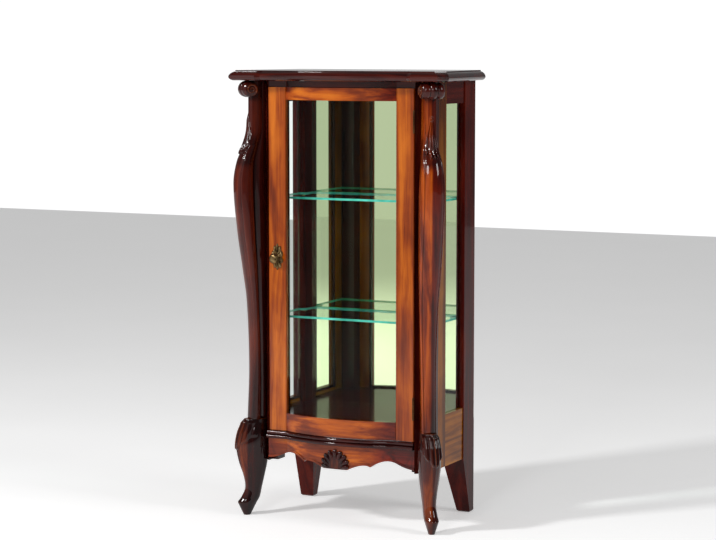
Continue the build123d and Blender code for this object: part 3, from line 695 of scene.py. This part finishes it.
def band_shares():
    """Heights of the band's rings, close together where the leaf is carved."""
    below, leaf, above = BAND_ROWS
    low, high = LEAF_ROWS_LOW, LEAF_ROWS_HIGH
    shares = [low * k / below for k in range(below)]
    shares += [low + (high - low) * k / leaf for k in range(leaf)]
    shares += [high + (1 - high) * k / above for k in range(above + 1)]
    return shares


def band_ring(share):
    """Closed ring of (out, across) round the band at one height."""
    inner, outer, half = along(PILASTER_FORM, share)
    ring = []
    for k in range(BAND_COLUMNS + 1):
        u = -1 + 2 * k / BAND_COLUMNS
        away = abs(u)
        across = half * u * (BACK_SHARE if u > 0 else 1)
        out = outer - RIDGE_DROP * half * away ** RIDGE_CURVE + BAND_SWELL * half * sin(pi * min(1, away))
        bead = BEAD_HEIGHT * bump_at(away, BEAD_AT, BEAD_WIDTH)
        groove = GROOVE_DEPTH * bump_at(away, GROOVE_AT, GROOVE_WIDTH)
        leaf = leaf_height(u, share)
        out += (bead - groove) * (1 - smooth(0.2, 1.5, abs(leaf))) + leaf
        ring.append((out, across))
    ring += [
        (inner + 2, half * 0.96 * BACK_SHARE),
        (inner, half * 0.80 * BACK_SHARE),
        (inner - 1, half * 0.3),
        (inner - 1, -half * 0.3),
        (inner, -half * 0.80),
        (inner + 2, -half * 0.96),
    ]
    return ring


def pilaster_height(share):
    return LEG_TOP + share * (PILASTER_TOP - LEG_TOP)


def web_ring(share):
    """Narrow strip between the band and the chamfered post."""
    back = along(PILASTER_FORM, share)[0] + 3
    return [(0, 10), (back, 9), (back, -9), (0, -10)]


def scroll_rings(side):
    """Points of the rolled leaf at the top: three lobes side by side."""
    centre_z = CASE_TOP / MM - SCROLL_RADIUS
    verts = []
    for k in range(SCROLL_STEPS + 1):
        v = -1 + 2 * k / SCROLL_STEPS
        lobe = abs(cos(1.5 * pi * v))
        size = SCROLL_RADIUS * (1 - 0.10 * v * v) * (0.76 + 0.24 * lobe ** 0.5)
        for a in range(SCROLL_AROUND):
            angle = turn(a, SCROLL_AROUND)
            reach = size + 0.35 * cos(SCROLL_RIBS * angle) * (1 - lobe)
            out = SCROLL_OUT - SCROLL_SAG[0] * v * v + reach * cos(angle)
            z = centre_z - SCROLL_SAG[1] * v * v + reach * sin(angle)
            verts.append(to_corner(side, out, v * SCROLL_HALF, min(z * MM, SCROLL_CEILING)))
    return verts


def coil_rings(side, end):
    """Points of the raised coil on one end of the scroll."""
    centre_out = SCROLL_OUT - SCROLL_SAG[0]
    centre_z = CASE_TOP / MM - SCROLL_RADIUS - SCROLL_SAG[1]
    verts = []
    for step in range(COIL_STEPS + 1):
        share = step / COIL_STEPS
        angle = 2 * pi * COIL_TURNS * share
        size = COIL_REACH[0] + COIL_REACH[1] * share
        thick = COIL_THICKNESS[0] + COIL_THICKNESS[1] * share
        for k in range(COIL_AROUND):
            tilt = turn(k, COIL_AROUND)
            reach = size + thick * cos(tilt)
            lift = SCROLL_HALF + thick * COIL_FLATNESS * sin(tilt) - COIL_SINK
            z = (centre_z + reach * sin(angle)) * MM
            verts.append(to_corner(side, centre_out + reach * cos(angle), end * lift, z))
    return verts


def scroll_parts(name, side, material):
    faces = tube_faces(SCROLL_STEPS + 1, SCROLL_AROUND)
    parts = [add_mesh(name, scroll_rings(side), faces, material)]
    for end in (-1, 1):
        faces = tube_faces(COIL_STEPS + 1, COIL_AROUND)
        parts.append(add_mesh(name + "_eye", coil_rings(side, end), faces, material))
    return parts


def make_pilasters():
    web_shares = [row / WEB_ROWS for row in range(WEB_ROWS + 1)]
    for side, sign in SIDES.items():
        name = side + "_carved_pilaster"
        band = [(pilaster_height(share), band_ring(share)) for share in band_shares()]
        web = [(pilaster_height(share), web_ring(share)) for share in web_shares]
        parts = [
            corner_tube(name, sign, band, MATERIALS["band_" + side]),
            corner_tube(name + "_web", sign, web, MATERIALS["dark"]),
        ]
        parts += scroll_parts(name + "_scroll", sign, MATERIALS["carved"])
        stand_for(join_pieces(name, parts), "case", "dark_wood", side + "_cabriole_pilaster")


# Cabriole front leg

# Share of the height, inner and outer distance from the chamfer, half width, in millimetres
LEG_FORM = (
    (0.00, 46, 66, 9.5),
    (0.055, 42, 72, 13),
    (0.10, 33, 79, 18),
    (0.131, 27, 83, 21),
    (0.18, 19, 73, 20.5),
    (0.274, 13, 61.5, 20),
    (0.40, 5, 65, 24),
    (0.55, -4, 77, 31),
    (0.70, -8, 84, 35),
    (0.85, -6, 77, 32),
    (0.95, -5, 66, 27),
    (1.00, -5, 62.5, 25.5),
)
TOE_ROW = LEG_FORM[3]
LEG_COLUMNS = 160

# Rings are closer together where the knee's leaf is carved
LEG_ROWS = (110, 170)
LEG_ROWS_TURN = 0.66

# Soft ridge down the knee's front: height and width as shares
KNEE_RIDGE, KNEE_RIDGE_WIDTH = 0.05, 0.16

# Leaf over the knee: its ends as shares of the leg, and its relief in millimetres
KNEE_LEAF_TOP = 1.0
KNEE_LEAF_TIP = 0.67
KNEE_LEAF_FLUTES = 2.5
KNEE_LEAF_LIFT = 6.3
KNEE_LEAF_MIDRIB = 1.2

# Square block behind the knee, under the corner post
BLOCK_STOP = 0.018
BLOCK_REBATE = 0.0225
BLOCK_FOOT = 0.157


def leg_foot(share):
    """Straight-sided foot that widens from the pad to the toe."""
    low, high = LEG_FORM[0], TOE_ROW
    k = share / high[0]
    return [a + (b - a) * k for a, b in zip(low[1:], high[1:])]


def knee_leaf(s, c, share):
    """Relief of the leaf that falls over the knee: curved flutes that fan out from the top.

    c and s are the cosine and sine of the angle from the leg's front.
    """
    down = (KNEE_LEAF_TOP - share) / (KNEE_LEAF_TOP - KNEE_LEAF_TIP)
    if c < -0.1 or down < 0 or down > 1.1:
        return 0
    sweep = abs(s) - 0.10 * down
    petal = abs(cos(pi * KNEE_LEAF_FLUTES * (sweep + 0.25 * down)))
    end = 0.98 - 0.45 * abs(s) ** 1.5 - 0.05 * (1 - petal)
    cut = 1 - smooth(end - 0.05, end + 0.05, down)
    height = KNEE_LEAF_LIFT * (0.10 + 0.88 * petal ** 0.8) + KNEE_LEAF_MIDRIB * bump_at(s, 0, 0.09)
    return height * cut * smooth(0, 0.12, down) * smooth(-0.1, 0.25, c)


def leg_ring(share):
    """Closed ring of (out, across) round the leg at one height."""
    inner, outer, half = along(LEG_FORM, share) if share > TOE_ROW[0] else leg_foot(share)
    middle = (inner + outer) / 2
    reach = (outer - inner) / 2
    upper = smooth(0.3, 0.6, share)
    ring = []
    for k in range(LEG_COLUMNS):
        angle = turn(k, LEG_COLUMNS)
        c, s = cos(angle), sin(angle)
        front = max(0, c)
        ridge = 1 + upper * KNEE_RIDGE * bump_at(s, 0, KNEE_RIDGE_WIDTH) * front
        across = half * s * (0.91 - 0.05 * upper) * (1 - 0.08 * upper * front)
        lift = knee_leaf(s, c, share)
        ring.append((middle + reach * c * ridge + lift * c, across + lift * s))
    return ring


def leg_shares():
    below, leaf = LEG_ROWS
    shares = [LEG_ROWS_TURN * row / below for row in range(below)]
    return shares + [LEG_ROWS_TURN + (1 - LEG_ROWS_TURN) * row / leaf for row in range(leaf + 1)]


def leg_block(side, sign):
    stop = OPENING_HALF - BLOCK_STOP
    rebate = DOOR_FRONT + BLOCK_REBATE
    outline = [
        (OPENING_HALF, DOOR_FRONT),
        (CASE_HALF, DOOR_FRONT + CHAMFER),
        (CASE_HALF, post_high.y),
        (stop, post_high.y),
        (stop, rebate),
        (OPENING_HALF, rebate),
    ]
    return prism(side + "_leg_block", sign, outline, BLOCK_FOOT, LEG_TOP, MATERIALS["dark"])


def make_legs():
    rings = [(share * LEG_TOP, leg_ring(share)) for share in leg_shares()]
    for side, sign in SIDES.items():
        name = side + "_carved_leg"
        shank = corner_tube(name, sign, rings, MATERIALS["leg_" + side])
        piece = join_pieces(name, [shank, leg_block(side, sign)])
        stand_for(piece, "case", "dark_wood", side + "_front_leg")


# Foliate knob

# Plate of long petals: half width and half height, petals, rings and points round
PLATE_HALF = (0.0185, 0.037)
PLATE_PETALS = 5
PLATE_RINGS = 22
PLATE_AROUND = 144
PLATE_LIFT = 0.003
KNOB_LIFT = 0.010

# Ribbed bud on its neck: radius and distance before the door, in millimetres
BUD_PROFILE = (
    (5.5, 1.0),
    (5.0, 8.0),
    (6.5, 11.0),
    (11.0, 15.0),
    (13.0, 20.0),
    (12.0, 25.0),
    (8.0, 28.6),
    (2.0, 30.0),
)
BUD_STEPS = 6
BUD_AROUND = 96
BUD_STRETCH = 1.1


def make_knob():
    """Oval plate of long petals, with a ribbed bud on its neck."""
    low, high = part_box("knob_plate")
    x, z = (low.x + high.x) / 2, (low.z + high.z) / 2 + KNOB_LIFT
    piece = join_pieces("foliate_knob", [petal_plate(x, z + PLATE_LIFT), bud(x, z)])
    stand_for(piece, "door", "antique_brass", "knob", "knob_plate")


def petal_plate(x, z):
    half_wide, half_high = PLATE_HALF
    verts = []
    for ring in range(PLATE_RINGS + 1):
        reach = 1 - ring / PLATE_RINGS * 0.92
        for k in range(PLATE_AROUND):
            angle = turn(k, PLATE_AROUND)
            petal = abs(cos(PLATE_PETALS * angle + pi / 2))
            size = reach * (1 - 0.20 * (1 - petal) * smooth(0.3, 1, reach))
            depth = 0.0
            if ring > 0:
                fold = 0.0042 * petal ** 0.6 * smooth(1.02, 0.75, reach)
                depth = 0.0012 + fold + 0.002 * smooth(0.5, 0.2, reach)
            across, up = half_wide * size * cos(angle), half_high * size * sin(angle)
            verts.append((x + across, DOOR_FRONT - depth, z + up))
    return add_mesh("knob_petals", verts, tube_faces(PLATE_RINGS + 1, PLATE_AROUND), MATERIALS["antique"])


def bud(x, z):
    last = len(BUD_PROFILE) - 1
    table = [(index / last, *row) for index, row in enumerate(BUD_PROFILE)]
    rows = last * BUD_STEPS + 1
    verts = []
    for row in range(rows):
        radius, depth = along(table, row / BUD_STEPS / last)
        for k in range(BUD_AROUND):
            angle = turn(k, BUD_AROUND)
            rib = 0.10 * abs(cos(4 * angle + depth * 0.16)) * smooth(6, 10, radius)
            size = radius * (0.95 + rib) * MM
            across, up = size * cos(angle), size * BUD_STRETCH * sin(angle)
            verts.append((x + across, DOOR_FRONT - depth * MM, z + up))
    return add_mesh("knob_bud", verts, tube_faces(rows, BUD_AROUND), MATERIALS["antique"])


# Rear uprights and shelf pins

ARRIS = 0.0015
MIRROR_LIP = 0.010
MIRROR_FIT = 0.0003
PIN_AROUND = 24
PIN_REACH = 0.009
PIN_RADIUS = 0.003
PIN_COLLAR = 0.0042

# Distance from the side and radius
PIN_PROFILE = (
    (0, PIN_COLLAR),
    (0.0014, PIN_COLLAR),
    (0.0016, PIN_RADIUS),
    (PIN_REACH - 0.0012, PIN_RADIUS),
    (PIN_REACH, 0.0014),
)


def make_uprights():
    """Rear uprights with a slim front arris behind the side glass, and a lip that holds the mirror."""
    low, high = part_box("right_rear_post")
    mirror_low, mirror_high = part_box("mirror")
    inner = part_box("right_side_top_rail")[0].x
    outline = [
        (inner, low.y),
        (high.x - ARRIS, low.y),
        (high.x, low.y + ARRIS),
        (high.x, high.y - ARRIS),
        (high.x - ARRIS, high.y),
        (mirror_high.x + MIRROR_FIT, high.y),
        (mirror_high.x + MIRROR_FIT, mirror_low.y - MIRROR_FIT),
        (low.x, mirror_low.y - MIRROR_FIT),
        (low.x, mirror_low.y - MIRROR_LIP),
        (inner, mirror_low.y - MIRROR_LIP),
    ]
    for side, sign in SIDES.items():
        piece = prism(side + "_rear_upright", sign, outline, low.z, high.z, MATERIALS["maroon"])
        stand_for(piece, "case", "dark_wood", side + "_rear_post")


def make_pin(side, wall_x, y, z):
    """Pin with a rounded end and a collar that is cut flat under the shelf."""
    verts = []
    for depth, size in PIN_PROFILE:
        for k in range(PIN_AROUND):
            angle = turn(k, PIN_AROUND)
            lift = size * sin(angle)
            if size > PIN_RADIUS:
                lift = min(PIN_RADIUS, lift)
            verts.append((side * (wall_x - depth), y + size * cos(angle), z + lift))
    return add_mesh("pin", verts, tube_faces(len(PIN_PROFILE), PIN_AROUND), MATERIALS["brass"])


def make_pins():
    """Shelf pins in both sides, near the front and the rear."""
    low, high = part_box("shelf_pins")
    parts = []
    for shelf in ("upper_shelf", "lower_shelf"):
        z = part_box(shelf)[0].z - PIN_RADIUS
        for sign in SIDES.values():
            for y in (low.y + PIN_RADIUS, high.y - PIN_RADIUS):
                parts.append(make_pin(sign, high.x, y, z))
    stand_for(join_pieces("shelf_pin_set", parts), "case", "brass", "shelf_pins")


# Light, floor and camera

def make_stage():
    mesh = bpy.data.meshes.new("studio_floor")
    corners = [(x * FLOOR_HALF, y * FLOOR_HALF, 0) for x, y in ((-1, -1), (1, -1), (1, 1), (-1, 1))]
    mesh.from_pydata(corners, [], [(0, 1, 2, 3)])
    floor = bpy.data.objects.new("studio_floor", mesh)
    scene.collection.objects.link(floor)
    material, tree, shader = new_material("pale_floor")
    patch = noise(tree, object_place(tree), 2, 2)
    colour = ramp(tree, patch, ((0.3, (0.88, 0.88, 0.88)), (0.7, (0.91, 0.91, 0.91))))
    tree.links.new(colour, shader.inputs["Base Color"])
    shader.inputs["Emission Color"].default_value = (1, 1, 1, 1)
    shader.inputs["Emission Strength"].default_value = FLOOR_GLOW
    shader.inputs["Roughness"].default_value = 0.75
    shader.inputs["Specular IOR Level"].default_value = 0.2
    mesh.materials.append(material)


def area_light(name, at, aim, size, power):
    lamp = bpy.data.lights.new(name, "AREA")
    lamp.shape = "RECTANGLE"
    lamp.size, lamp.size_y = size
    lamp.energy = power
    holder = bpy.data.objects.new(name, lamp)
    holder.location = at
    direction = Vector(aim) - Vector(at)
    holder.rotation_euler = direction.to_track_quat("-Z", "Y").to_euler()
    scene.collection.objects.link(holder)


def make_world():
    """White backdrop for the camera, and for reflections a dim room with a lighter wall and a window."""
    world = bpy.data.worlds.new("studio")
    world.use_nodes = True
    tree = world.node_tree
    background = tree.nodes["Background"]
    background.inputs["Color"].default_value = (1, 1, 1, 1)
    direction = tree.nodes.new("ShaderNodeTexCoord").outputs["Generated"]
    behind = dot(tree, direction, (-sin(CAMERA_AZIMUTH), cos(CAMERA_AZIMUTH), 0))
    ahead = dot(tree, direction, (-sin(CAMERA_AZIMUTH), -cos(CAMERA_AZIMUTH), 0))
    wall = map_range(tree, behind, 0.93, 0.985, ROOM_LIGHT, WALL_LIGHT)
    window = map_range(tree, ahead, 0.60, 0.95, 0.0, WINDOW_LIGHT)
    room = maths(tree, "ADD", wall, window)
    seen = tree.nodes.new("ShaderNodeLightPath").outputs["Is Camera Ray"]
    light = maths(tree, "MULTIPLY_ADD", seen, maths(tree, "SUBTRACT", BACKDROP_LIGHT, room), room)
    tree.links.new(light, background.inputs["Strength"])
    scene.world = world


def make_camera():
    lens = bpy.data.cameras.new("camera")
    lens.sensor_width = SENSOR
    lens.lens = SENSOR * FOCAL_PIXELS / PHOTO_WIDTH
    lens.clip_end = CLIP_END
    holder = bpy.data.objects.new("camera", lens)
    holder.location = CAMERA_AT
    holder.rotation_euler = (pi / 2 - CAMERA_DOWN, 0, CAMERA_AZIMUTH)
    scene.collection.objects.link(holder)
    scene.camera = holder


dress_nodes()
make_pilasters()
make_legs()
make_knob()
make_uprights()
make_pins()
make_stage()
make_world()
for lamp in LAMPS:
    area_light(*lamp)
make_camera()
